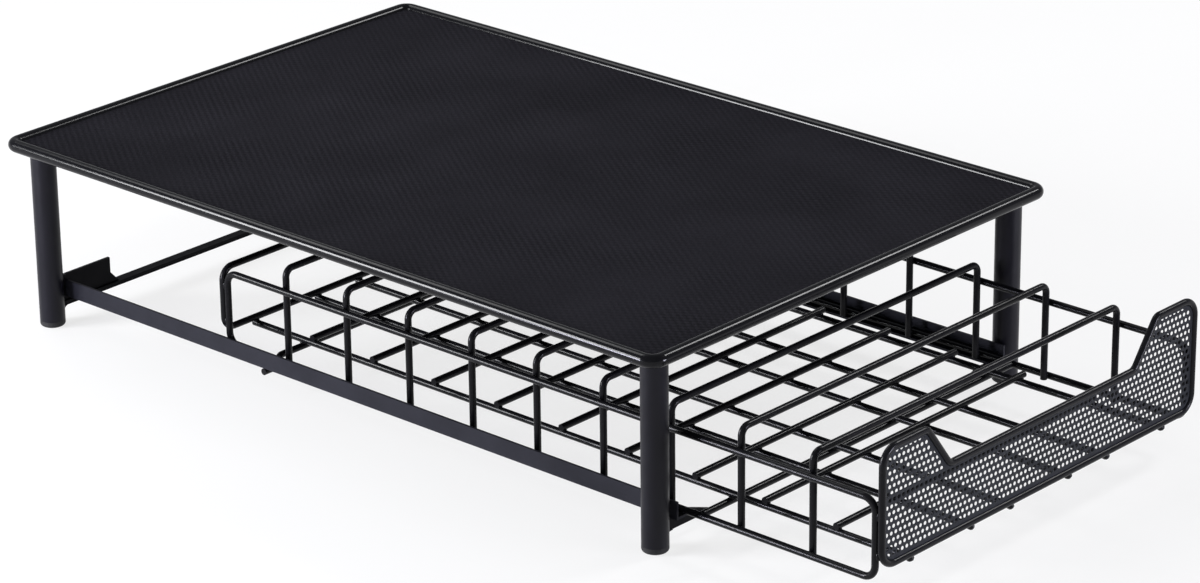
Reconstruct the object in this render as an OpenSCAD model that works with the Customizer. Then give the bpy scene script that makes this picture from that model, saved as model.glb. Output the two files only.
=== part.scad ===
// Wire drawer for beverage capsules that slides under a low steel stand.
// Millimetres. X runs across, -Y is the front, +Z is up.
// The drawer is drawn part way out of the stand.

/* [Stand] */
// Width of the top rim between the centre lines of its tube
rim_w = 264; // [250:1:300]
// Depth of the top rim between the centre lines of its tube
rim_d = 402.4; // [380:0.1:440]
// Height of the stand over its rim
stand_h = 95.1; // [94:0.1:120]
// Diameter of the rim tube
rim_tube_d = 6.1; // [5:0.1:8]
// Plan radius of the rim's corners, to the centre line of the tube
rim_corner_r = 5; // [4.5:0.5:14]
// Thickness of the top plate
plate_t = 1.2; // [0.8:0.1:2]
// Depth of the top plate's surface below the top of the rim
plate_recess = 2.1; // [1.6:0.1:2.8]

/* [Legs] */
// Outer diameter of the leg tubes
leg_d = 12.1; // [11:0.1:13]
// Wall of the leg tubes
leg_wall = 1.2; // [0.8:0.1:2]
// Leg centre line to the rim centre line, across
leg_inset_x = 11.2; // [10.5:0.1:12]
// Leg centre line to the rim centre line, front to back
leg_inset_y = 9.7; // [9:0.1:11]
// Height of the plastic foot below the end of the leg tube
foot_h = 3; // [2:0.1:3.4]
// Radius of the foot's bottom edge
foot_edge_r = 1.5; // [0.5:0.1:2]
// Length of the foot's stem inside the leg tube
foot_stem = 9; // [6:0.5:15]

/* [Rails] */
// Height of the underside of the rails
rail_z = 12.8; // [12.4:0.1:14]
// Height of the rails
rail_h = 8.3; // [6:0.1:9]
// Width of a rail's flange, with its wall
rail_flange = 7.7; // [6.5:0.1:8.5]
// Thickness of the rail sheet
rail_t = 1.2; // [1:0.1:1.5]
// Gap between a rail and the legs beside it
rail_leg_gap = 1.5; // [0.5:0.1:2]
// How far a rail runs ahead of the front legs' centre line
rail_nose = 5.5; // [3:0.5:8]

/* [Cross members and brackets] */
// Width of the cross member, front to back
strip_w = 5; // [3:0.1:8]
// Thickness of the cross member
strip_t = 2.2; // [1.5:0.1:2.5]
// Height of the underside of the cross member
strip_z = 8.4; // [7:0.1:10]
// Thickness of the bracket plates
bracket_t = 1.5; // [1:0.1:2]
// Height of the underside of the front brackets
front_bracket_z = 6.5; // [5:0.1:7]
// Reach of a front bracket from the leg along its lower edge
front_bracket_reach = 28.5; // [24:0.5:32]
// Reach of a front bracket from the leg along its upper edge
front_bracket_top_reach = 14.5; // [13:0.5:20]
// Height of a front bracket's blunt end
front_bracket_end_h = 1.3; // [1:0.1:2]
// Reach of a rear bracket's tab from the leg
rear_bracket_reach = 30.2; // [20:0.1:40]
// How far the rear bracket's toe runs past its tab
rear_bracket_toe = 5; // [0:0.5:10]
// Height of the sloping toe above the cross member
rear_bracket_toe_h = 5.4; // [3:0.1:8]
// Height of the top of the rear brackets above the rail underside
rear_bracket_h = 10.9; // [10.5:0.1:14]

/* [Drawer wire] */
// Diameter of the drawer's wire
wire_d = 3.2; // [2.8:0.1:3.4]
// Bend radius of the corners of the side loops and the rear frame
wire_bend_r = 6; // [4:0.1:7]
// Bend radius of the hoops' upper corners
hoop_bend_r = 4; // [3:0.1:6]
// Gap left between wires that are welded side by side
weld_gap = 0.05; // [0.02:0.01:0.1]

/* [Drawer] */
// Distance from one hoop to the next
bay_pitch = 38.8; // [36:0.1:40]
// Running gap between the skid wires and the rails under them
glide_gap = 0.3; // [0.2:0.05:0.5]
// Side play between the drawer and each rail
side_play = 2.5; // [1:0.1:3.5]
// Height of the side loops between centre lines
side_loop_h = 35.6; // [30:0.1:38]
// Height of the hoops' top above the skid wires, between centre lines
hoop_rise = 45.1; // [42:0.1:52]
// Height of the rear frame between centre lines
rear_frame_h = 29.9; // [27:0.1:36]
// Height of the support wires above the skid wires, between centre lines
support_lift = 0; // [0:0.1:1]
// Distance between the columns of capsules
column_pitch = 67.5; // [66:0.1:68.5]
// Distance between the two floor wires under one column
column_track = 40.5; // [36:0.1:42]
// How far the floor rods run past the outer floor wires
floor_rod_end = 2; // [1:0.1:5]
// How far the drawer stands out of the stand as drawn
drawer_out = 103; // [60:0.1:150]
// Gap to the rear brackets when the drawer is closed
stop_gap = 0.5; // [0.3:0.1:2]

/* [Hooks and supports] */
// Rear frame to the hook wire, front to back, between centre lines
hook_setback = 30.4; // [26:0.1:33]
// Gap between the hooks and the rails over them
hook_gap = 0.3; // [0.2:0.1:0.6]
// Gap between the hooks and the edges of the rail flanges
hook_side_gap = 0.5; // [0.4:0.1:1]
// Bend radius of the hooks
hook_bend_r = 2.2; // [2:0.1:2.4]
// Reach of a hook under the rail from its upright, between centre lines
hook_reach = 8; // [5:0.5:8]
// Front wire of the drawer to the front support wire, between centre lines
front_support_setback = 97.7; // [80:0.1:100]

/* [Front] */
// Height of the front rim's bottom wire above the skid wires
front_lift = 5.9; // [5:0.1:7]
// Height of the ears above the bottom wire, between centre lines
ear_h = 52.5; // [46:0.1:56]
// Width of the flat top of an ear, with its outer corner
ear_w = 28.4; // [20:0.1:34]
// Depth of the finger notch
notch_depth = 20.5; // [14:0.1:24]
// Bend radius of the front rim's outer corners
front_corner_r = 8; // [5:0.1:10]
// Bend radius at the inner end of the ears
ear_inner_r = 4; // [3:0.1:6]
// Bend radius at the bottom of the finger notch
notch_r = 5; // [3:0.1:8]
// Thickness of the front mesh
mesh_t = 0.8; // [0.5:0.1:1.5]
// Width of the solid hem of the mesh
hem_w = 2.4; // [1.5:0.1:4]
// Strand of the mesh between two gaps of a row
strand_w = 1.7; // [1.2:0.1:2.2]
// Distance between the gaps of a row of the mesh
mesh_pitch_x = 4.5; // [4.4:0.1:8]
// Distance between the rows of the mesh
mesh_pitch_z = 4.6; // [4.4:0.1:8]

/* [Hidden] */
HOOPS = 9;
COLUMNS = 3;
// The sides of the finger notch run in 3 for every 4 down
NOTCH_RUN = 3 / 4;
FLOOR_WIRES = 2 * COLUMNS;
SIDES = ["left", "right"];
LEGS = ["front_left", "front_right", "rear_left", "rear_right"];
$fn = 32;

// Stand, across and front to back
wire_r = wire_d / 2;
wire_step = wire_d + weld_gap;
leg_r = leg_d / 2;
leg_x = rim_w / 2 - leg_inset_x;
leg_y = rim_d / 2 - leg_inset_y;
leg_inner_x = leg_x - leg_r - weld_gap;
rail_outer_x = leg_x - leg_r - rail_leg_gap;
rail_wall_x = rail_outer_x - rail_t;
flange_edge_x = rail_outer_x - rail_flange;
rail_front_y = -leg_y - rail_nose;
rear_stop_y = leg_y - bracket_t;

// Stand, heights
rim_z = stand_h - rim_tube_d / 2;
plate_top_z = stand_h - plate_recess;
plate_bottom_z = plate_top_z - plate_t;
plate_corner_r = rim_corner_r - rim_tube_d / 2 - weld_gap;
flange_top_z = rail_z + rail_t;
strip_top_z = strip_z + strip_t;

// Drawer, front to back
drawer_len = (HOOPS + 1) * bay_pitch;
rear_frame_y = rear_stop_y - stop_gap - wire_r - drawer_out;
front_frame_y = rear_frame_y - drawer_len;
side_rear_y = rear_frame_y - wire_step;
side_front_y = front_frame_y + wire_step;
hook_y = rear_frame_y - hook_setback;
front_support_y = front_frame_y + front_support_setback;

// Drawer, across
skid_x = rail_wall_x - side_play - wire_r;
hoop_x = skid_x - wire_step;
floor_x = (COLUMNS - 1) / 2 * column_pitch + column_track / 2;
hook_upright_x = flange_edge_x - hook_side_gap - wire_r;
hook_tip_x = hook_upright_x + hook_reach + wire_r;

// Drawer, heights
skid_z = flange_top_z + glide_gap + wire_r;
support_z = skid_z + support_lift;
floor_z = support_z + wire_step;
floor_rod_z = floor_z + wire_step;
side_top_z = skid_z + side_loop_h;
hoop_z = skid_z + hoop_rise;
hook_z = rail_z - hook_gap - wire_r;
front_bottom_z = skid_z + front_lift;
ear_z = front_bottom_z + ear_h;
notch_z = ear_z - notch_depth;
ear_inner_x = skid_x - ear_w;
notch_x = ear_inner_x - notch_depth * NOTCH_RUN;

// Puts the origin under the middle of the whole part, front to back
front_reach = max(wire_r - front_frame_y, (rim_d + rim_tube_d) / 2);
rear_reach = (rim_d + rim_tube_d) / 2;
row_shift_y = (front_reach - rear_reach) / 2;

// ---- Round wire and tube, bent through corners ----

function unit(v) = v / norm(v);
function turn(before, at, after) = acos(unit(at - before) * unit(after - at));
// Distance from a corner to the ends of its bend
function trim(before, at, after, r) = r * tan(turn(before, at, after) / 2);

// A straight stretch from one point to another
module stretch(from, to, d) {
    run = to - from;
    length = norm(run);
    translate(from)
        rotate([0, acos(run.z / length), atan2(run.y, run.x)])
            cylinder(d = d, h = length);
}

// The bend at a corner: a piece of a torus between its two tangent points
module bend(before, at, after, r, d) {
    along = unit(at - before);
    out = unit(after - at);
    inward = unit(out - (out * along) * along);
    axis = cross(along, inward);
    centre = at - along * trim(before, at, after, r) + inward * r;
    multmatrix([
        [-inward.x, along.x, axis.x, centre.x],
        [-inward.y, along.y, axis.y, centre.y],
        [-inward.z, along.z, axis.z, centre.z],
        [0, 0, 0, 1]
    ])
        rotate_extrude(angle = turn(before, at, after), $fn = 48)
            translate([r, 0]) circle(d = d, $fn = 32);
}

// A wire through points with a bend radius each; the first and last points are its ends
module wire(points, radii, d) {
    last = len(points) - 1;
    cut = [for (i = [0:last]) i == 0 || i == last ? 0
        : trim(points[i - 1], points[i], points[i + 1], radii[i])];
    for (i = [0:last - 1]) {
        way = unit(points[i + 1] - points[i]);
        stretch(points[i] + way * cut[i], points[i + 1] - way * cut[i + 1], d);
    }
    for (i = [1:last - 1])
        bend(points[i - 1], points[i], points[i + 1], radii[i], d);
}

// The same as a closed ring
module ring(points, radii, d) {
    n = len(points);
    function at(i) = points[(i + n) % n];
    cut = [for (i = [0:n]) trim(at(i - 1), at(i), at(i + 1), radii[i % n])];
    for (i = [0:n - 1]) {
        way = unit(at(i + 1) - at(i));
        stretch(at(i) + way * cut[i], at(i + 1) - way * cut[i + 1], d);
        bend(at(i - 1), at(i), at(i + 1), radii[i], d);
    }
}

// ---- Stand ----

// Signs of a leg's place: left is -X, front is -Y
function leg_signs(i) = [i % 2 == 0 ? -1 : 1, i < 2 ? -1 : 1];

module leg_at(i) {
    s = leg_signs(i);
    translate([s.x * leg_x, s.y * leg_y]) children();
}

// Cuts the ends of what runs from leg to leg to the round of the legs
module coped() {
    difference() {
        children();
        for (i = [0:3])
            leg_at(i) translate([0, 0, -1])
                cylinder(r = leg_r + weld_gap, h = stand_h, $fn = 64);
    }
}

module rounded_plate(w, d, r, t) {
    linear_extrude(t) {
        square([w - 2 * r, d], center = true);
        square([w, d - 2 * r], center = true);
        for (x = [-1, 1], y = [-1, 1])
            translate([x * (w / 2 - r), y * (d / 2 - r)])
                circle(r = r, $fn = 64);
    }
}

module top_plate() {
    inset = rim_tube_d + 2 * weld_gap;
    color("#26262a")
        translate([0, 0, plate_bottom_z])
            rounded_plate(rim_w - inset, rim_d - inset, plate_corner_r, plate_t);
}

module top_rim() {
    x = rim_w / 2;
    y = rim_d / 2;
    color("#1b1b1e")
        ring([[-x, -y, rim_z], [x, -y, rim_z], [x, y, rim_z], [-x, y, rim_z]],
            [for (i = [0:3]) rim_corner_r], rim_tube_d);
}

module leg(i) {
    color("#202124")
        leg_at(i) translate([0, 0, foot_h])
            difference() {
                cylinder(d = leg_d, h = plate_bottom_z - weld_gap - foot_h, $fn = 64);
                translate([0, 0, -1])
                    cylinder(d = leg_d - 2 * leg_wall, h = stand_h, $fn = 64);
            }
}

// A plastic cap with a rounded bottom edge and a stem that fills the tube's end
module foot(i) {
    stem_r = leg_r - leg_wall - weld_gap;
    flat_r = leg_r - foot_edge_r;
    color("#161617")
        leg_at(i) {
            rotate_extrude($fn = 64) {
                square([flat_r, foot_h - weld_gap]);
                translate([0, foot_edge_r])
                    square([leg_r, foot_h - weld_gap - foot_edge_r]);
                intersection() {
                    translate([flat_r, foot_edge_r]) circle(r = foot_edge_r, $fn = 48);
                    square([leg_r, foot_edge_r]);
                }
            }
            cylinder(r = stem_r, h = foot_h + foot_stem, $fn = 64);
        }
}

// A flat strip between the rear legs
module cross_member() {
    color("#212226")
        coped()
            translate([-leg_x, leg_y - strip_w / 2, strip_z])
                cube([2 * leg_x, strip_w, strip_t]);
}

// An upright plate across the part: its outline is drawn in X and Z
module upright_plate(y, t) {
    translate([0, y, 0])
        rotate([90, 0, 0])
            translate([0, 0, -t])
                linear_extrude(t) children();
}

// Carries the rail's front end on the leg and stops the hook
module bracket_front(side) {
    bottom = front_bracket_z;
    top = rail_z - weld_gap;
    end_x = leg_inner_x - front_bracket_reach;
    color("#1d1e21")
        coped()
            upright_plate(-leg_y - bracket_t / 2, bracket_t)
                scale([side, 1])
                    polygon([
                        [leg_x, bottom],
                        [end_x, bottom],
                        [end_x, bottom + front_bracket_end_h],
                        [leg_inner_x - front_bracket_top_reach, top],
                        [leg_x, top]
                    ]);
}

// Stands on the cross member, carries the rail's rear end and stops the drawer
module bracket_rear(side) {
    bottom = strip_top_z + weld_gap;
    tab_x = leg_inner_x - rear_bracket_reach;
    toe_x = tab_x - rear_bracket_toe;
    color("#1d1e21")
        coped()
            upright_plate(leg_y - bracket_t, bracket_t)
                scale([side, 1])
                    polygon([
                        [leg_x, bottom],
                        [toe_x, bottom],
                        [tab_x, bottom + rear_bracket_toe_h],
                        [tab_x, rail_z + rear_bracket_h],
                        [leg_x, rail_z + rear_bracket_h]
                    ]);
}

// An angle: the wall stands outside and the flange under the skid wire
module rail(side) {
    color("#2c323b")
        translate([0, rail_front_y, 0])
            rotate([-90, 0, 0])
                linear_extrude(rear_stop_y - weld_gap - rail_front_y)
                    scale([side, -1])
                        polygon([
                            [rail_outer_x, rail_z],
                            [rail_outer_x, rail_z + rail_h],
                            [rail_wall_x, rail_z + rail_h],
                            [rail_wall_x, flange_top_z],
                            [flange_edge_x, flange_top_z],
                            [flange_edge_x, rail_z]
                        ]);
}

// ---- Drawer ----

// A closed side of the drawer: its lower wire is the skid that runs on the rail
module side_loop(side) {
    x = side * skid_x;
    color("#17181a")
        ring([[x, side_front_y, skid_z], [x, side_rear_y, skid_z],
              [x, side_rear_y, side_top_z], [x, side_front_y, side_top_z]],
            [for (i = [0:3]) wire_bend_r], wire_d);
}

module rear_frame() {
    bottom = floor_rod_z;
    top = floor_rod_z + rear_frame_h;
    color("#17181a")
        ring([[-skid_x, rear_frame_y, bottom], [skid_x, rear_frame_y, bottom],
              [skid_x, rear_frame_y, top], [-skid_x, rear_frame_y, top]],
            [for (i = [0:3]) wire_bend_r], wire_d);
}

// Corners of the front rim in X and Z, each with its bend radius and +1 for a
// corner that sticks out or -1 for one that turns in
function front_corners() = [
    [-skid_x, front_bottom_z, front_corner_r, 1],
    [skid_x, front_bottom_z, front_corner_r, 1],
    [skid_x, ear_z, front_corner_r, 1],
    [ear_inner_x, ear_z, ear_inner_r, 1],
    [notch_x, notch_z, notch_r, -1],
    [-notch_x, notch_z, notch_r, -1],
    [-ear_inner_x, ear_z, ear_inner_r, 1],
    [-skid_x, ear_z, front_corner_r, 1]
];

module front_frame() {
    c = front_corners();
    color("#141415")
        ring([for (p = c) [p[0], front_frame_y, p[1]]], [for (p = c) p[2]], wire_d);
}

// The inside of the front rim, moved in from its centre line by inset
module front_field(inset) {
    c = front_corners();
    n = len(c);
    function corner(i) = [c[(i + n) % n][0], c[(i + n) % n][1]];
    // Each corner slides inwards along its bisector, and its bend grows or shrinks
    function moved(i) = let (
            a = unit(corner(i) - corner(i - 1)),
            b = unit(corner(i + 1) - corner(i)),
            left = [-a.y - b.y, a.x + b.x]
        ) corner(i) + left * inset / (1 + a * b);
    arc_steps = 8;
    function arc_point(i, k) = let (
            p = moved(i),
            a = unit(p - moved(i - 1)),
            b = unit(moved(i + 1) - p),
            angle = acos(a * b),
            r = c[i][2] - c[i][3] * inset,
            left = c[i][3] * [-a.y, a.x],
            centre = p - a * r * tan(angle / 2) + left * r,
            w = angle * k / arc_steps
        ) centre - left * r * cos(w) + a * r * sin(w);
    polygon([for (i = [0:n - 1], k = [0:arc_steps]) arc_point(i, k)]);
}

// True where a point of the front lies at least margin inside the rim's centre line
function inside_front(x, z, margin) = let (
        side = abs(x),
        from_slope = (side - notch_x - (z - notch_z) * NOTCH_RUN) / norm([NOTCH_RUN, 1]),
        past_corner = [
            side - skid_x + front_corner_r,
            max(front_bottom_z + front_corner_r - z, z - ear_z + front_corner_r)
        ]
    )
    side <= skid_x - margin
    && z >= front_bottom_z + margin
    && z <= ear_z - margin
    && (z <= notch_z - margin || from_slope >= margin)
    && (min(past_corner) < 0 || norm(past_corner) <= front_corner_r - margin);

// A flat net inside the front rim: six-sided gaps in staggered rows, and a solid hem
module front_mesh() {
    rim_inset = wire_r + weld_gap;
    gap_r = (mesh_pitch_x - strand_w) / 2;
    margin = rim_inset + hem_w + gap_r;
    columns = ceil(skid_x / mesh_pitch_x);
    rows = ceil(ear_h / mesh_pitch_z);
    color("#1c1d20")
        upright_plate(front_frame_y - mesh_t / 2, mesh_t)
            difference() {
                front_field(rim_inset);
                for (j = [0:rows], i = [-columns:columns]) {
                    x = (i + (j % 2) / 2) * mesh_pitch_x;
                    z = front_bottom_z + margin + j * mesh_pitch_z;
                    if (inside_front(x, z, margin))
                        translate([x, z]) rotate(30) circle(r = gap_r, $fn = 6);
                }
            }
}

// The rear support: its ends bend down and out under the rails, so the drawer
// can't tip or leave the stand
module anti_tip_wire() {
    x = hook_upright_x;
    color("#1a1b1d")
        wire([[-hook_tip_x, hook_y, hook_z], [-x, hook_y, hook_z],
              [-x, hook_y, support_z], [x, hook_y, support_z],
              [x, hook_y, hook_z], [hook_tip_x, hook_y, hook_z]],
            [for (i = [0:5]) hook_bend_r], wire_d);
}

module front_support_wire() {
    end_x = skid_x - wire_r - weld_gap;
    color("#1a1b1d")
        stretch([-end_x, front_support_y, support_z], [end_x, front_support_y, support_z],
            wire_d);
}

// Two floor wires run under each column of capsules
function floor_wire_x(i) =
    (ceil(i / 2) - (COLUMNS + 1) / 2) * column_pitch
    + (i % 2 == 1 ? -1 : 1) * column_track / 2;

module floor_wire(i) {
    x = floor_wire_x(i);
    color("#18191b")
        stretch([x, front_frame_y + wire_r + weld_gap, floor_z],
            [x, rear_frame_y + wire_r, floor_z], wire_d);
}

function hoop_y(i) = rear_frame_y - i * bay_pitch;

module hoop(i) {
    y = hoop_y(i);
    foot_z = skid_z - wire_r / 2;
    color("#151618")
        wire([[-hoop_x, y, foot_z], [-hoop_x, y, hoop_z],
              [hoop_x, y, hoop_z], [hoop_x, y, foot_z]],
            [for (k = [0:3]) hoop_bend_r], wire_d);
}

module floor_rod(i) {
    x = floor_x + floor_rod_end;
    color("#18191b")
        stretch([-x, hoop_y(i), floor_rod_z], [x, hoop_y(i), floor_rod_z], wire_d);
}

module placed() {
    translate([0, row_shift_y, 0]) children();
}

placed() top_plate();
placed() top_rim();
for (i = [0:3]) {
    placed() leg(i);
    placed() foot(i);
}
for (i = [0:1]) {
    placed() bracket_front(2 * i - 1);
    placed() bracket_rear(2 * i - 1);
    placed() rail(2 * i - 1);
    placed() side_loop(2 * i - 1);
}
placed() cross_member();
placed() rear_frame();
placed() front_frame();
placed() front_mesh();
placed() anti_tip_wire();
placed() front_support_wire();
for (i = [1:FLOOR_WIRES])
    placed() floor_wire(i);
for (i = [1:HOOPS]) {
    placed() hoop(i);
    placed() floor_rod(i);
}
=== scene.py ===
"""Looks of a low steel stand with a wire drawer for drink capsules.

Sizes are in millimetres in the named values and become metres in mm().
X runs across, -Y is the front, +Z is up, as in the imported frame.
"""

import math
import random

import bmesh
import bpy
import numpy as np
from mathutils import Matrix, Vector


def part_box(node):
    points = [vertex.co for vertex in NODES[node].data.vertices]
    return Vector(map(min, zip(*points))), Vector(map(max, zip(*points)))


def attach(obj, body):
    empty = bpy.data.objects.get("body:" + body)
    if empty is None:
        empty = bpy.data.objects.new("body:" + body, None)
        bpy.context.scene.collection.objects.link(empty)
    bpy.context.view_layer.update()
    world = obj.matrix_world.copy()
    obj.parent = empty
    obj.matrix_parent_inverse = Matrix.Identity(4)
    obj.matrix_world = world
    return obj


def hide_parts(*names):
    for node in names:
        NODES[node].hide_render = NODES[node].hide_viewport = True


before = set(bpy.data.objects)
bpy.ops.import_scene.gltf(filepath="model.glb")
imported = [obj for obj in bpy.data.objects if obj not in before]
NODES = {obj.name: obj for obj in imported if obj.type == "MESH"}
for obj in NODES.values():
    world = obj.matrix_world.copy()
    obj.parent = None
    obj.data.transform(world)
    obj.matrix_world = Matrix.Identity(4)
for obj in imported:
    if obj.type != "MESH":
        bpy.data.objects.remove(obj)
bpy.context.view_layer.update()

MM = 0.001

# ---- The photograph's camera, found from the straight edges of the object ----
IMAGE_W = 1200
SENSOR_W = 36.0
CAMERA_AZIMUTH = -47.5207
CAMERA_ELEVATION = 22.0304
CAMERA_ROLL = -0.66703
CAMERA_DISTANCE = 2007.394
CAMERA_FOCAL_PX = 4461.05
# The point looked at, from the middle of the stand on the floor
CAMERA_TARGET = (-20.613, -69.813, 55.0)

# ---- Sizes shared with the solids ----
WIRE_R = 1.6
HOOPS = 9
BAY_PITCH = 38.8
FLOOR_WIRE_X = (20.25, 47.25, 87.75)
LEG_R = 6.05
FRONT_CORNER_R = 8.0
EAR_W = 28.4
EAR_INNER_R = 4.0
NOTCH_DEPTH = 20.5
NOTCH_R = 5.0
NOTCH_RUN = 0.75

# ---- The net of the drawer's front ----
NET_PITCH_X = 2.95
NET_PITCH_Z = 3.03
NET_GAP_R = 0.86
NET_T = 0.56
HEM_W = 1.0
HEM_T = 0.8
HEM_TUCK = 0.4
HEM_CLEAR = 0.1
HEM_ROUND = 0.2
HEM_BITE = 0.1
# A gap with more of its border than this beyond the hem is closed
CLOSED_SHARE = 0.6
# Shares of the way from the middle of a strand to a gap, with the height there
STRAND_SWELL = ((0.0, 1.0), (0.55, 0.82), (1.0, 0.0))

# ---- Studio, in metres ----
FILL = 0.35
FILL_COLOUR = (0.93, 0.95, 1.0, 1)
FLOOR_HALF = 12.0
FLOOR_COLOUR = (0.93, 0.93, 0.93, 1)
FLOOR_GLOW = 0.75
# The rise of a ray at which the white backdrop starts and ends fading to the ceiling
BACKDROP_TOP = (0.02, 0.15)
LIGHT_AIM = (0, 0, 0.05)
COOL = (0.93, 0.92, 1.10)
# Way to each light from the point it aims at, distance, size, radiance and colour
LIGHTS = (
    ("left_key", (-0.74, 0.62, 0.28), 1.5, (0.42, 0.42), 46.0, (0.97, 0.98, 1.0)),
    ("left_low", (-0.91, 0.40, 0.09), 0.9, (0.16, 0.12), 85.0, COOL),
    ("back_top", (0.05, 0.63, 0.77), 2.2, (1.0, 0.7), 4.0),
    ("right_top", (0.68, -0.27, 0.67), 2.0, (0.42, 0.42), 22.0),
    ("front_right", (0.31, -0.93, 0.08), 1.6, (0.36, 0.30), 48.0, COOL),
)

# ---- Coats: name, dark and light tone, roughness, specular level, orange peel ----
COATS = {
    "gloss": ("rim_gloss", (0.0025, 0.0025, 0.0035), (0.004, 0.004, 0.005),
              0.16, 0.16, 0.04),
    "satin": ("leg_satin", (0.0042, 0.0040, 0.0068), (0.0066, 0.0063, 0.0100),
              0.38, 0.17, 0.12),
    # Darker copy of the leg paint for the brackets and the cross strip: painted shade, for the
    # shade these parts sit in under the deck
    "inner": ("satin_painted_shade", (0.0025, 0.0025, 0.0035), (0.004, 0.004, 0.005),
              0.50, 0.05, 0.12),
    # Lighter, bluish copy of the same black paint for the rails: painted light and a painted
    # bluish reflection on their lit faces
    "rail": ("rail_satin", (0.0115, 0.0117, 0.0155), (0.0175, 0.0178, 0.0230),
             0.48, 0.08, 0.12),
    "wire": ("wire_coat", (0.004, 0.004, 0.005), (0.007, 0.007, 0.008),
             0.24, 0.11, 0.12),
    "net": ("net_coat", (0.009, 0.010, 0.013), (0.014, 0.016, 0.020),
            0.45, 0.12, 0.12),
}

# ---- The deck's raised grain: its pitches, tones and specular level ----
GRAIN_X = 3.6
GRAIN_Y = 5.26
DECK_DARK = (0.0100, 0.0096, 0.0122)
DECK_LIGHT = (0.0200, 0.0192, 0.0242)
DECK_SPECULAR = 0.02

# ---- The feet ----
PLASTIC_DARK = (0.008, 0.008, 0.009)
PLASTIC_LIGHT = (0.014, 0.014, 0.015)
PLASTIC_SPECULAR = 0.3

# ---- Beads, rings and fillets of weld ----
WELD_R = 1.35
WELD_FLAT_R = WELD_R * 0.7
WELD_LONG_R = WELD_R * 1.6
# Heights of the side welds as shares of the drawer's sides
SIDE_WELD_SHARES = (0.3, 0.8)
BEAD_ROUGHNESS = (0.93, 1.05)
RING_WELD_R = 1.0
RING_RIPPLE = 0.12
RING_RIPPLES = 24
RING_DROP = 0.3
FILLET_HALF_T = 1.4
STRIP_FILLET_HALF_T = 2.2
# Reaches of the fillets along X and Z from their corners
FRONT_FILLET = (5.0, -2.2)
STRIP_FILLET = (5.0, -3.0)
REAR_FILLET = (2.5, 2.5)
# How far a fillet starts inside the pieces that it joins
FILLET_BITE = 0.1
SEAM_BITE = 0.15
# The round ends of the floor wires under the front rim
NUB_R = 1.72
NUB_SIZES = (NUB_R * 1.08, NUB_R * 1.1, NUB_R)
NUB_SETBACK = 1.35
NUB_DROP = 0.05


def mm(*values):
    """Millimetres to a vector in metres."""
    return Vector(values) * MM


def node_box(name):
    """A node's lowest and highest corners in millimetres."""
    low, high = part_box(name)
    return Vector(low) / MM, Vector(high) / MM


def middle_y(name):
    low, high = node_box(name)
    return (low.y + high.y) / 2


def make_camera():
    """The camera that sees the object as the photograph does."""
    a = math.radians(CAMERA_AZIMUTH)
    e = math.radians(CAMERA_ELEVATION)
    roll = math.radians(CAMERA_ROLL)
    back = Vector((math.sin(a) * math.cos(e), -math.cos(a) * math.cos(e), math.sin(e)))
    right = (-back).cross(Vector((0, 0, 1))).normalized()
    up = right.cross(-back)
    rolled_right = right * math.cos(roll) + up * math.sin(roll)
    rolled_up = up * math.cos(roll) - right * math.sin(roll)
    x, y, z = CAMERA_TARGET
    place = mm(x, y + middle_y("top_rim"), z) + back * CAMERA_DISTANCE * MM
    turn = Matrix((rolled_right, rolled_up, back)).transposed()
    data = bpy.data.cameras.new("camera")
    data.sensor_fit = "HORIZONTAL"
    data.sensor_width = SENSOR_W
    data.lens = CAMERA_FOCAL_PX / IMAGE_W * SENSOR_W
    data.clip_start = 0.05
    data.clip_end = 50.0
    camera = bpy.data.objects.new("camera", data)
    camera.matrix_world = Matrix.Translation(place) @ turn.to_4x4()
    bpy.context.scene.collection.objects.link(camera)
    bpy.context.scene.camera = camera


# ---- Node helpers ----

class Shader:
    """A material's node tree with short calls for the nodes used here."""

    def __init__(self, name):
        self.material = bpy.data.materials.new(name)
        self.material.use_nodes = True
        self.tree = self.material.node_tree
        self.tree.nodes.clear()
        self.output = self.node("ShaderNodeOutputMaterial")
        self.bsdf = self.node("ShaderNodeBsdfPrincipled")
        self.link(self.bsdf.outputs["BSDF"], self.output.inputs["Surface"])
        self.coords = self.node("ShaderNodeTexCoord").outputs["Object"]

    def node(self, kind, **settings):
        made = self.tree.nodes.new(kind)
        for key, value in settings.items():
            setattr(made, key, value)
        return made

    def link(self, source, target):
        self.tree.links.new(source, target)

    def noise(self, scale, detail=3.0):
        made = self.node("ShaderNodeTexNoise")
        made.inputs["Scale"].default_value = scale
        made.inputs["Detail"].default_value = detail
        self.link(self.coords, made.inputs["Vector"])
        return made.outputs["Fac"]

    def math(self, operation, a, b=None):
        made = self.node("ShaderNodeMath", operation=operation)
        for socket, value in zip(made.inputs, (a, b)):
            if value is None:
                continue
            if isinstance(value, (int, float)):
                socket.default_value = value
            else:
                self.link(value, socket)
        return made.outputs[0]

    def spread(self, value, low, high, from_low=0.3, from_high=0.7):
        """Maps a value between two limits to another range."""
        made = self.node("ShaderNodeMapRange")
        made.inputs["From Min"].default_value = from_low
        made.inputs["From Max"].default_value = from_high
        made.inputs["To Min"].default_value = low
        made.inputs["To Max"].default_value = high
        self.link(value, made.inputs["Value"])
        return made.outputs["Result"]

    def colours(self, value, dark, light):
        """A colour between two by a value from 0 to 1."""
        made = self.node("ShaderNodeMix", data_type="RGBA")
        sockets = [s for s in made.inputs if s.type == "RGBA"]
        sockets[0].default_value = (*dark, 1)
        sockets[1].default_value = (*light, 1)
        self.link(value, made.inputs["Factor"])
        return [s for s in made.outputs if s.type == "RGBA"][0]

    def bump(self, height, strength, distance):
        made = self.node("ShaderNodeBump")
        made.inputs["Strength"].default_value = strength
        made.inputs["Distance"].default_value = distance
        self.link(height, made.inputs["Height"])
        return made.outputs["Normal"]

    def set(self, **values):
        for name, value in values.items():
            socket = self.bsdf.inputs[name.replace("_", " ")]
            if isinstance(value, (int, float, tuple)):
                socket.default_value = value
            else:
                self.link(value, socket)


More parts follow.
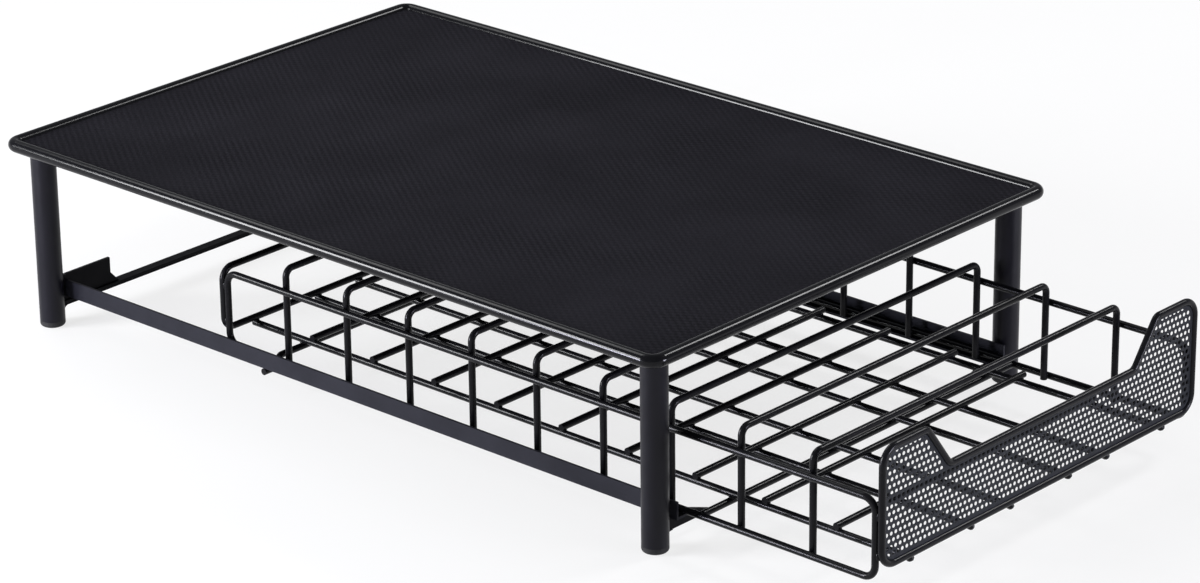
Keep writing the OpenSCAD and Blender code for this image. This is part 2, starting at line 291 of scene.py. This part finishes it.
def powder_coat(name, dark, light, roughness, specular, peel):
    """Sprayed and baked paint: a fine orange peel and slow changes of tone and gloss."""
    s = Shader(name)
    tone = s.spread(s.noise(35.0, 4.0), 0.0, 1.0)
    s.set(Base_Color=s.colours(tone, dark, light))
    gloss = s.noise(220.0, 3.0)
    s.set(Roughness=s.spread(gloss, roughness * 0.85, roughness * 1.15))
    s.bsdf.inputs["Specular IOR Level"].default_value = specular
    s.set(Normal=s.bump(s.noise(1400.0, 2.0), peel, 0.0002))
    return s.material


def deck_material():
    """Matt sheet with a fine raised diamond grain in staggered rows."""
    s = Shader("deck_grain")
    split = s.node("ShaderNodeSeparateXYZ")
    s.link(s.coords, split.inputs[0])
    across = s.math("MULTIPLY", split.outputs["X"], 2 * math.pi / (GRAIN_X * MM))
    along = s.math("MULTIPLY", split.outputs["Y"], 2 * math.pi / (GRAIN_Y * MM))
    wave_a = s.math("COSINE", s.math("ADD", across, along))
    wave_b = s.math("COSINE", s.math("SUBTRACT", across, along))
    diamonds = s.math("MULTIPLY", s.math("ADD", wave_a, wave_b), 0.5)
    # The raised grain is worn flat in patches and broken up by the sprayed coat
    kept = s.spread(s.noise(26.0, 3.0), 0.25, 0.9, 0.35, 0.65)
    speckle = s.math("MULTIPLY", s.noise(750.0, 2.0), 1.8)
    grain = s.math("ADD", s.math("MULTIPLY", diamonds, kept), speckle)
    clouds = s.spread(s.noise(18.0, 4.0), -0.25, 0.25)
    tone = s.math("ADD", s.spread(grain, 0.1, 0.9, -0.1, 1.9), clouds)
    s.set(Base_Color=s.colours(tone, DECK_DARK, DECK_LIGHT))
    s.set(Roughness=s.spread(diamonds, 0.78, 0.62, -1.0, 1.0))
    s.bsdf.inputs["Specular IOR Level"].default_value = DECK_SPECULAR
    s.set(Normal=s.bump(grain, 0.55, 0.0003))
    return s.material


def plastic_material():
    """Dull moulded plastic with a faint texture."""
    s = Shader("foot_plastic")
    tone = s.spread(s.noise(60.0, 4.0), 0.0, 1.0)
    s.set(Base_Color=s.colours(tone, PLASTIC_DARK, PLASTIC_LIGHT))
    s.set(Roughness=s.spread(s.noise(500.0, 3.0), 0.55, 0.70))
    s.bsdf.inputs["Specular IOR Level"].default_value = PLASTIC_SPECULAR
    s.set(Normal=s.bump(s.noise(2600.0, 2.0), 0.2, 0.0001))
    return s.material


# ---- Stage ----

def joined(tree, operation, a, b):
    """A math node on two sockets or numbers."""
    made = tree.nodes.new("ShaderNodeMath")
    made.operation = operation
    for socket, value in zip(made.inputs, (a, b)):
        if isinstance(value, float):
            socket.default_value = value
        else:
            tree.links.new(value, socket)
    return made.outputs[0]


def white_to_eye(tree, surface, share, mirror_share=None):
    """Mixes a surface with plain white for the camera, mirrors and glass."""
    rays = tree.nodes.new("ShaderNodeLightPath")
    glow = tree.nodes.new("ShaderNodeEmission")
    glow.inputs["Color"].default_value = (1, 1, 1, 1)
    glow.inputs["Strength"].default_value = 1.0
    mirrored = joined(tree, "MAXIMUM", rays.outputs["Is Glossy Ray"],
                      rays.outputs["Is Transmission Ray"])
    if mirror_share is not None:
        mirrored = joined(tree, "MULTIPLY", mirrored, mirror_share)
    seen = joined(tree, "MAXIMUM", rays.outputs["Is Camera Ray"], mirrored)
    mix = tree.nodes.new("ShaderNodeMixShader")
    tree.links.new(joined(tree, "MULTIPLY", seen, share), mix.inputs[0])
    tree.links.new(surface, mix.inputs[1])
    tree.links.new(glow.outputs[0], mix.inputs[2])
    return mix.outputs[0]


def make_world():
    """Soft fill from all round; a white backdrop stands on the horizon under a dim ceiling."""
    world = bpy.data.worlds.new("studio")
    bpy.context.scene.world = world
    world.use_nodes = True
    tree = world.node_tree
    tree.nodes.clear()
    out = tree.nodes.new("ShaderNodeOutputWorld")
    plain = tree.nodes.new("ShaderNodeBackground")
    plain.inputs["Color"].default_value = FILL_COLOUR
    plain.inputs["Strength"].default_value = FILL
    way = tree.nodes.new("ShaderNodeTexCoord")
    split = tree.nodes.new("ShaderNodeSeparateXYZ")
    tree.links.new(way.outputs["Generated"], split.inputs[0])
    fade = tree.nodes.new("ShaderNodeMapRange")
    fade.inputs["From Min"].default_value = BACKDROP_TOP[0]
    fade.inputs["From Max"].default_value = BACKDROP_TOP[1]
    fade.inputs["To Min"].default_value = 1.0
    fade.inputs["To Max"].default_value = 0.0
    tree.links.new(split.outputs["Z"], fade.inputs["Value"])
    white = white_to_eye(tree, plain.outputs[0], 1.0, fade.outputs["Result"])
    tree.links.new(white, out.inputs["Surface"])


def make_floor():
    """A wide pale floor: white to the camera, with the object's shadow on it."""
    r = FLOOR_HALF
    mesh = bpy.data.meshes.new("floor")
    corners = [(-r, -r, 0), (r, -r, 0), (r, r, 0), (-r, r, 0)]
    mesh.from_pydata(corners, [], [(0, 1, 2, 3)])
    floor = bpy.data.objects.new("floor", mesh)
    bpy.context.scene.collection.objects.link(floor)
    material = bpy.data.materials.new("floor_paper")
    material.use_nodes = True
    tree = material.node_tree
    paint = tree.nodes["Principled BSDF"]
    paint.inputs["Base Color"].default_value = FLOOR_COLOUR
    paint.inputs["Roughness"].default_value = 0.9
    paint.inputs["Specular IOR Level"].default_value = 0.0
    white = white_to_eye(tree, paint.outputs["BSDF"], FLOOR_GLOW)
    tree.links.new(white, tree.nodes["Material Output"].inputs["Surface"])
    mesh.materials.append(material)


def area_light(name, way, distance, size, radiance, colour=(1, 1, 1)):
    """A soft box that shines on the stand's middle from a direction, size in metres."""
    toward = Vector(way).normalized()
    data = bpy.data.lights.new(name, "AREA")
    data.shape = "RECTANGLE"
    data.size, data.size_y = size
    data.energy = radiance * math.pi * size[0] * size[1]
    data.color = colour
    light = bpy.data.objects.new(name, data)
    light.location = Vector(LIGHT_AIM) + toward * distance
    light.rotation_mode = "QUATERNION"
    light.rotation_quaternion = (-toward).to_track_quat("-Z", "Y")
    bpy.context.scene.collection.objects.link(light)


def make_lights():
    for name, *values in LIGHTS:
        area_light(name, *values)


# ---- Mesh helpers ----

def add_object(name, mesh, material, body):
    """A smooth-shaded piece that rides on a body and takes its finish from a slot."""
    mesh.materials.append(material)
    mesh.polygons.foreach_set("use_smooth", [True] * len(mesh.polygons))
    piece = bpy.data.objects.new(name, mesh)
    bpy.context.scene.collection.objects.link(piece)
    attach(piece, body)
    return piece


class Builder:
    """Collects points and faces in millimetres and makes one mesh of them."""

    def __init__(self):
        self.points = []
        self.faces = []

    def add(self, points, faces):
        start = len(self.points)
        self.points.extend(points)
        self.faces.extend([tuple(start + i for i in face) for face in faces])

    def tube(self, loops):
        """Closed rings of points joined one after the other into a closed tube."""
        n = len(loops[0])
        points = [p for loop in loops for p in loop]
        faces = []
        for j in range(len(loops)):
            k = (j + 1) % len(loops)
            for i in range(n):
                m = (i + 1) % n
                faces.append((j * n + i, j * n + m, k * n + m, k * n + i))
        self.add(points, faces)

    def bead(self, centre, radii, sides=10, rings=6):
        """A slightly uneven blob of weld."""
        cx, cy, cz = centre
        points = [(cx, cy, cz - radii[2])]
        for j in range(1, rings):
            tilt = math.pi * j / rings
            for i in range(sides):
                turn = 2 * math.pi * i / sides
                rough = random.uniform(*BEAD_ROUGHNESS)
                points.append((
                    cx + radii[0] * rough * math.sin(tilt) * math.cos(turn),
                    cy + radii[1] * rough * math.sin(tilt) * math.sin(turn),
                    cz - radii[2] * rough * math.cos(tilt)))
        points.append((cx, cy, cz + radii[2]))
        last = len(points) - 1
        faces = []
        for i in range(sides):
            m = (i + 1) % sides
            faces.append((0, 1 + m, 1 + i))
            faces.append((last, last - sides + i, last - sides + m))
            for j in range(rings - 2):
                a = 1 + j * sides
                b = a + sides
                faces.append((a + i, a + m, b + m, b + i))
        self.add(points, faces)

    def fillet(self, corner, reach_x, reach_z, half_t, steps=7):
        """A weld in the corner between an upright face and a level one, hollow outside."""
        x, y, z = corner
        profile = [(x, z)]
        for k in range(steps + 1):
            w = math.pi / 2 * k / steps
            profile.append((x + reach_x * (1 - math.sin(w)), z + reach_z * (1 - math.cos(w))))
        n = len(profile)
        points = []
        for at, swell in ((-half_t, 0.75), (-half_t * 0.4, 1.0), (half_t * 0.4, 1.0),
                          (half_t, 0.75)):
            points += [(x + (px - x) * swell, y + at, z + (pz - z) * swell)
                       for px, pz in profile]
        faces = [tuple(range(n)), tuple(3 * n + i for i in range(n))]
        for j in range(3):
            for i in range(n):
                m = (i + 1) % n
                faces.append((j * n + i, j * n + m, (j + 1) * n + m, (j + 1) * n + i))
        self.add(points, faces)

    def mesh(self, name):
        data = bpy.data.meshes.new(name)
        data.from_pydata([mm(*p) for p in self.points], [], self.faces)
        work = bmesh.new()
        work.from_mesh(data)
        bmesh.ops.recalc_face_normals(work, faces=work.faces)
        work.to_mesh(data)
        work.free()
        data.update()
        return data


# ---- The net of the drawer's front ----

def front_corners():
    """Corners of the front rim in X and Z: place, bend radius, +1 out or -1 in."""
    low, high = node_box("front_frame")
    x = high.x - WIRE_R
    bottom = low.z + WIRE_R
    top = high.z - WIRE_R
    ear_x = x - EAR_W
    notch_x = ear_x - NOTCH_DEPTH * NOTCH_RUN
    notch_z = top - NOTCH_DEPTH
    right = [(x, top, FRONT_CORNER_R, 1), (ear_x, top, EAR_INNER_R, 1),
             (notch_x, notch_z, NOTCH_R, -1)]
    left = [(-p[0], *p[1:]) for p in reversed(right)]
    return [(-x, bottom, FRONT_CORNER_R, 1), (x, bottom, FRONT_CORNER_R, 1)] + right + left


def front_outline(inset, arc_steps=8):
    """The front rim's centre line moved inwards by inset, as points in X and Z."""
    corners = front_corners()
    n = len(corners)
    places = [Vector(c[:2]) for c in corners]
    moved = []
    for i in range(n):
        a = (places[i] - places[i - 1]).normalized()
        b = (places[(i + 1) % n] - places[i]).normalized()
        left = Vector((-a.y - b.y, a.x + b.x))
        moved.append(places[i] + left * inset / (1 + a.dot(b)))
    points = []
    for i in range(n):
        bend = corners[i][2] - corners[i][3] * inset
        a = (moved[i] - moved[i - 1]).normalized()
        b = (moved[(i + 1) % n] - moved[i]).normalized()
        angle = math.acos(a.dot(b))
        left = Vector((-a.y, a.x)) * corners[i][3]
        centre = moved[i] - a * bend * math.tan(angle / 2) + left * bend
        for k in range(arc_steps + 1):
            w = angle * k / arc_steps
            p = centre - left * bend * math.cos(w) + a * bend * math.sin(w)
            points.append((p.x, p.y))
    return points


def held_inside(points, outline):
    """Points moved to the nearest place on the outline where they lie outside it.

    Also returns which of them were outside.
    """
    p = np.array(points)[:, None, :]
    a = np.array(outline)[None, :, :]
    b = np.roll(a, -1, axis=1)
    along = b - a
    share = np.clip(((p - a) * along).sum(2) / (along ** 2).sum(2), 0, 1)
    near = a + share[..., None] * along
    gap = ((p - near) ** 2).sum(2)
    best = gap.argmin(1)
    nearest = near[np.arange(len(points)), best]
    rises = (a[..., 1] > p[..., 1]) != (b[..., 1] > p[..., 1])
    height = np.where(along[..., 1] == 0, 1.0, along[..., 1])
    cross_x = a[..., 0] + (p[..., 1] - a[..., 1]) / height * along[..., 0]
    inside = (rises & (p[..., 0] < cross_x)).sum(1) % 2 == 1
    kept = np.where(inside[:, None], np.array(points), nearest)
    return kept, ~inside


def net_cells():
    """Middles of the net's gaps in X and Z, in staggered rows."""
    low, high = node_box("front_frame")
    rows = int((high.z - low.z) / NET_PITCH_Z) + 2
    columns = int((high.x - low.x) / NET_PITCH_X / 2) + 2
    cells = []
    for j in range(rows):
        for i in range(-columns, columns + 1):
            cells.append(((i + (j % 2) / 2) * NET_PITCH_X, low.z + j * NET_PITCH_Z))
    return cells


def cell_rings():
    """One cell's six-sided border and its round gap, 12 points each, from its middle."""
    p, q = NET_PITCH_X, NET_PITCH_Z
    side = (q * q - p * p / 4) / (2 * q)
    tip = (q * q + p * p / 4) / (2 * q)
    quarter = [(p / 2, 0.0), (p / 2, side), (p / 4, (side + tip) / 2), (0.0, tip)]
    upper = quarter + [(-x, z) for x, z in reversed(quarter[:-1])]
    border = upper + [(x, -z) for x, z in reversed(upper[1:-1])]
    gap = [(NET_GAP_R * math.cos(math.pi * k / 6), NET_GAP_R * math.sin(math.pi * k / 6))
           for k in range(12)]
    return border, gap


def front_net(material):
    """The fine net with rounded strands, cut to the rim, and its narrow hem."""
    hem_end = WIRE_R + HEM_W
    tuck_line = front_outline(hem_end - HEM_TUCK)
    gap_line = front_outline(hem_end + HEM_CLEAR)
    border, gap = cell_rings()
    cells = net_cells()
    n = len(border)
    borders, beyond = held_inside(
        [(cx + x, cz + z) for cx, cz in cells for x, z in border], tuck_line)
    gaps, past = held_inside(
        [(cx + x, cz + z) for cx, cz in cells for x, z in gap], gap_line)
    y = middle_y("front_frame")
    net = Builder()
    known = {}

    def point(x, z, level):
        key = (round(x, 4), round(z, 4), round(level, 4))
        if key not in known:
            known[key] = len(net.points)
            net.points.append((x, y - level, z))
        return known[key]

    walls = {}
    for c in range(len(cells)):
        part = slice(c * n, c * n + n)
        if beyond[part].all():
            continue
        outer, inner = borders[part], gaps[part]
        solid = past[part].sum() > n * CLOSED_SHARE
        for face in (1, -1):
            if solid:
                loop = []
                for x, z in outer:
                    k = point(x, z, face * NET_T / 2)
                    if k not in loop:
                        loop.append(k)
                if len(loop) > 2:
                    net.faces.append(tuple(loop))
                rings = []
            else:
                rings = [[point(*(o + (i - o) * share), face * NET_T / 2 * rise)
                          for o, i in zip(outer, inner)] for share, rise in STRAND_SWELL]
            for near, far in zip(rings, rings[1:]):
                for k in range(n):
                    m = (k + 1) % n
                    quad = []
                    for v in (near[k], near[m], far[m], far[k]):
                        if v not in quad:
                            quad.append(v)
                    if len(quad) > 2:
                        net.faces.append(tuple(quad))
        for k in range(n):
            m = (k + 1) % n
            front = point(*outer[k], NET_T / 2), point(*outer[m], NET_T / 2)
            rear = point(*outer[m], -NET_T / 2), point(*outer[k], -NET_T / 2)
            if front[0] != front[1]:
                key = frozenset(front)
                if key in walls:
                    del walls[key]
                else:
                    walls[key] = front + rear
    net.faces.extend(walls.values())
    hem_start = WIRE_R - HEM_BITE
    profile = [(hem_start, HEM_T / 2), (hem_end - HEM_ROUND, HEM_T / 2),
               (hem_end, HEM_T / 2 - HEM_ROUND), (hem_end, HEM_ROUND - HEM_T / 2),
               (hem_end - HEM_ROUND, -HEM_T / 2), (hem_start, -HEM_T / 2)]
    net.tube([[(x, y + shift, z) for x, z in front_outline(inset)]
              for inset, shift in profile])
    piece = add_object("front_net", net.mesh("front_net"), material, "drawer")
    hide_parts("front_mesh")


# ---- Welds ----

def drawer_welds(material):
    """A bead wherever two wires of the drawer cross or stand side by side."""
    beads = Builder()
    # Sizes of a bead between wires side by side, on top of each other and end to end
    across = (WELD_FLAT_R, WELD_R, WELD_R)
    level = (WELD_R, WELD_R, WELD_FLAT_R)
    upright = (WELD_R, WELD_FLAT_R, WELD_LONG_R)
    rear_y = middle_y("rear_frame")
    front_y = middle_y("front_frame")
    floor_z = node_box("floor_wire_1")[0].z + WIRE_R
    rod_z = node_box("floor_rod_1")[0].z + WIRE_R
    side_low, side_high = node_box("side_loop_right")
    seam_x = side_low.x
    skid_z = side_low.z + WIRE_R
    side_top_z = side_high.z - WIRE_R
    for side in (-1, 1):
        for i in range(1, HOOPS + 1):
            y = rear_y - i * BAY_PITCH
            for z in (skid_z, side_top_z):
                beads.bead((side * seam_x, y, z), across)
            for x in FLOOR_WIRE_X:
                beads.bead((side * x, y, (floor_z + rod_z) / 2), level)
        for x in FLOOR_WIRE_X:
            for name in ("front_support_wire", "anti_tip_wire"):
                z = (node_box(name)[1].z - WIRE_R + floor_z) / 2
                beads.bead((side * x, middle_y(name), z), level)
            beads.bead((side * x, rear_y, (floor_z + rod_z) / 2), level)
            # The floor wires' ends stand out under the front rim as round nubs
            beads.bead((side * x, front_y + NUB_SETBACK, floor_z - NUB_DROP),
                       NUB_SIZES, 14, 9)
        support_z = node_box("front_support_wire")[1].z - WIRE_R
        beads.bead((side * seam_x, middle_y("front_support_wire"), support_z), across)
        skid_x = seam_x + WIRE_R
        rise = side_top_z - skid_z
        for share in SIDE_WELD_SHARES:
            z = skid_z + share * rise
            beads.bead((side * skid_x, rear_y - WIRE_R, z), upright)
            beads.bead((side * skid_x, front_y + WIRE_R, z), upright)
    add_object("drawer_welds", beads.mesh("drawer_welds"), material, "drawer")


def leg_head_weld(beads, middle, z):
    """A rippled ring of weld round a leg under the deck."""
    steps, sides = 72, 8
    loops = []
    for j in range(steps):
        turn = 2 * math.pi * j / steps
        r = RING_WELD_R + RING_RIPPLE * math.cos(RING_RIPPLES * turn)
        loop = []
        for k in range(sides):
            w = 2 * math.pi * k / sides
            reach = LEG_R + r * math.cos(w)
            loop.append((middle.x + reach * math.cos(turn),
                         middle.y + reach * math.sin(turn), z + r * math.sin(w)))
        loops.append(loop)
    beads.tube(loops)


def stand_welds(material):
    """The legs' heads and the hollow fillets where plates and the strip meet the legs."""
    beads = Builder()
    under_deck = node_box("top_plate")[0].z
    strip_low, strip_high = node_box("cross_member")
    for end in ("front", "rear"):
        for side in ("left", "right"):
            low, high = node_box(f"leg_{end}_{side}")
            middle = (low + high) / 2
            leg_head_weld(beads, middle, under_deck - RING_DROP)
            inward = -1 if middle.x > 0 else 1
            seam_x = middle.x + inward * (LEG_R - SEAM_BITE)
            plate_low, plate_high = node_box(f"bracket_{end}_{side}")
            plate_y = (plate_low.y + plate_high.y) / 2
            if end == "front":
                reach_x, reach_z = FRONT_FILLET
                beads.fillet((seam_x, plate_y, plate_low.z + FILLET_BITE),
                             inward * reach_x, reach_z, FILLET_HALF_T)
            else:
                strip_y = (strip_low.y + strip_high.y) / 2
                reach_x, reach_z = STRIP_FILLET
                beads.fillet((seam_x, strip_y, strip_low.z + FILLET_BITE),
                             inward * reach_x, reach_z, STRIP_FILLET_HALF_T)
                reach_x, reach_z = REAR_FILLET
                beads.fillet((seam_x, plate_y, plate_high.z - FILLET_BITE),
                             inward * reach_x, reach_z, FILLET_HALF_T)
    add_object("stand_welds", beads.mesh("stand_welds"), material, "stand")


# ---- Materials on the solids ----

def dress_nodes(coats):
    for name, node in NODES.items():
        if name == "top_plate":
            chosen = coats["deck"]
        elif name == "top_rim":
            chosen = coats["gloss"]
        elif name.startswith("leg_"):
            chosen = coats["satin"]
        # The brackets and the cross strip take the darker copy of the leg paint: painted shade
        elif name.startswith(("bracket_", "cross_member")):
            chosen = coats["inner"]
        # The rails take the lighter copy of the paint: painted light and painted reflection
        elif name.startswith("rail_"):
            chosen = coats["rail"]
        elif name.startswith("foot_"):
            chosen = coats["plastic"]
        else:
            chosen = coats["wire"]
        node.data.materials.clear()
        node.data.materials.append(chosen)


def make_coats():
    coats = {kind: powder_coat(*values) for kind, values in COATS.items()}
    coats["deck"] = deck_material()
    coats["plastic"] = plastic_material()
    return coats


random.seed(5)
make_camera()
make_world()
make_floor()
make_lights()
coats = make_coats()
dress_nodes(coats)
front_net(coats["net"])
drawer_welds(coats["wire"])
stand_welds(coats["satin"])

bpy.context.scene.view_settings.view_transform = "Standard"
